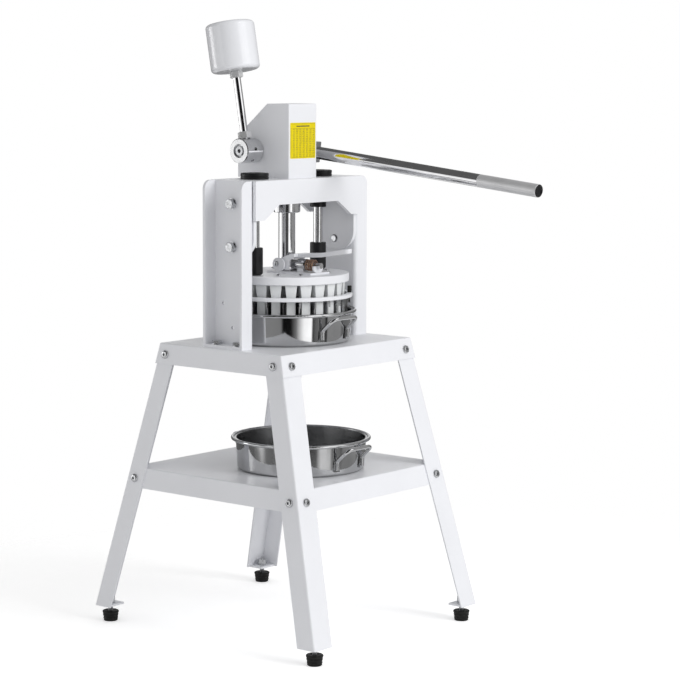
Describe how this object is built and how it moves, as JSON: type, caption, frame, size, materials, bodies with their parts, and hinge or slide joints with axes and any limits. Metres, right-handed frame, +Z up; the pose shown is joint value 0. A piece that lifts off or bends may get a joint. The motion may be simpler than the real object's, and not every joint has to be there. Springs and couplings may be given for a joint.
{
  "type": "manual dough divider",
  "caption": "Hand-lever dough divider on a splayed stand: a rack-driven blade grid and press blocks cut a pan of dough into equal portions; counterweight above, spare pan on the shelf.",
  "frame": {"origin": "point on the floor at the middle of the part's outline; the press column stands 136 mm behind it", "axes": "+Z up along the press column, -Y to the front where the lever points and the pan goes in, +X to the right, the lever's side"},
  "size_m": [0.536, 0.8812, 1.2655],
  "materials": {
    "white_paint": "satin white powder coat",
    "zinc_steel": "zinc plated",
    "black_plastic": "satin black",
    "black_rubber": "matt black",
    "chrome_plate": "bright plated",
    "machined_steel": "machined and oiled",
    "bronze": "plain bearing bronze",
    "copper_wire": "copper coloured spring wire",
    "blade_steel": "ground stainless sheet",
    "block_plastic": "milky white food grade plastic",
    "pan_steel": "spun stainless steel"
  },
  "bodies": {
    "stand": {"table_top": "white_paint", "leg_front_left": "white_paint", "leg_front_right": "white_paint", "leg_rear_left": "white_paint", "leg_rear_right": "white_paint", "lower_shelf": "white_paint", "table_bolts": "zinc_steel", "shelf_bolts": "zinc_steel", "base_bolts": "zinc_steel", "stand_nuts": "zinc_steel", "right_upright": "white_paint", "left_upright": "white_paint", "bridge": "white_paint", "bridge_bolts": "zinc_steel", "guide_bushes": "black_plastic", "column_gland": "chrome_plate", "head_housing": "white_paint", "shaft_bearings": "bronze"},
    "lever": {"pinion_shaft": "machined_steel", "pinion": "machined_steel", "clamp_hub": "machined_steel", "hub_screws": "zinc_steel", "counterweight_rod": "chrome_plate", "rod_nuts": "zinc_steel", "counterweight": "white_paint", "lever_block": "machined_steel", "lever_tube": "chrome_plate", "lever_plug": "black_plastic"},
    "ram": {"rack_column": "chrome_plate", "outer_blades": "blade_steel", "middle_blades": "blade_steel", "centre_blades": "blade_steel", "ring_blades": "blade_steel", "blade_ring": "white_paint", "stop_bumpers": "black_rubber"},
    "press_plate": {"press_disc": "white_paint", "outer_blocks": "block_plastic", "middle_blocks": "block_plastic", "centre_blocks": "block_plastic", "guide_rods": "chrome_plate", "rod_sleeves": "black_plastic", "latch_bracket": "white_paint", "latch_pivots": "zinc_steel", "latch_spring": "copper_wire"},
    "lock_handle": {"latch_handle": "white_paint"},
    "lock_pin": {"lock_plunger": "chrome_plate"},
    "loaded_pan": {"pan": "pan_steel", "pan_handles": "pan_steel"},
    "shelf_pan": {"spare_pan": "pan_steel", "spare_pan_handles": "pan_steel"},
    "foot_front_left": {"foot_stud_front_left": "zinc_steel", "foot_pad_front_left": "black_rubber"},
    "foot_front_right": {"foot_stud_front_right": "zinc_steel", "foot_pad_front_right": "black_rubber"},
    "foot_rear_left": {"foot_stud_rear_left": "zinc_steel", "foot_pad_rear_left": "black_rubber"},
    "foot_rear_right": {"foot_stud_rear_right": "zinc_steel", "foot_pad_rear_right": "black_rubber"}
  },
  "joints": [
    {"name": "lever_turn", "type": "hinge", "parent": "stand", "child": "lever", "pos_m": [0, 0.18609, 0.996], "axis": [-1, 0, 0], "range_deg": [-13.5, 95]},
    {"name": "ram_slide", "type": "slide", "parent": "stand", "child": "ram", "axis": [0, 0, 1], "range_m": [-0.0085, 0.0597]},
    {"name": "plate_slide", "type": "slide", "parent": "ram", "child": "press_plate", "axis": [0, 0, 1], "range_m": [-0.01, 0.014]},
    {"name": "lock_lift", "type": "hinge", "parent": "press_plate", "child": "lock_handle", "pos_m": [0, 0.13909, 0.762], "axis": [-1, 0, 0], "range_deg": [0, 15]},
    {"name": "lock_pull", "type": "slide", "parent": "press_plate", "child": "lock_pin", "axis": [0, -1, 0], "range_m": [0, 0.0022], "stiffness_N_per_m": 3000, "springref_m": -0.004, "deforming": ["latch_spring"]},
    {"name": "pan_lift", "type": "slide", "parent": "stand", "child": "loaded_pan", "axis": [0, 0, 1], "range_m": [0, 0.009]},
    {"name": "shelf_pan_pull", "type": "slide", "parent": "stand", "child": "shelf_pan", "axis": [0, -1, 0], "range_m": [0, 0.3]},
    {"name": "foot_front_left_screw", "type": "slide", "parent": "stand", "child": "foot_front_left", "axis": [0, 0, -1], "range_m": [0, 0.012]},
    {"name": "foot_front_right_screw", "type": "slide", "parent": "stand", "child": "foot_front_right", "axis": [0, 0, -1], "range_m": [0, 0.012]},
    {"name": "foot_rear_left_screw", "type": "slide", "parent": "stand", "child": "foot_rear_left", "axis": [0, 0, -1], "range_m": [0, 0.012]},
    {"name": "foot_rear_right_screw", "type": "slide", "parent": "stand", "child": "foot_rear_right", "axis": [0, 0, -1], "range_m": [0, 0.012]}
  ],
  "couplings": [
    {"joint": "ram_slide", "follows": "lever_turn", "m_per_rad": 0.036},
    {"joint": "lock_pull", "follows": "lock_lift", "m_per_rad": 0.0084}
  ]
}
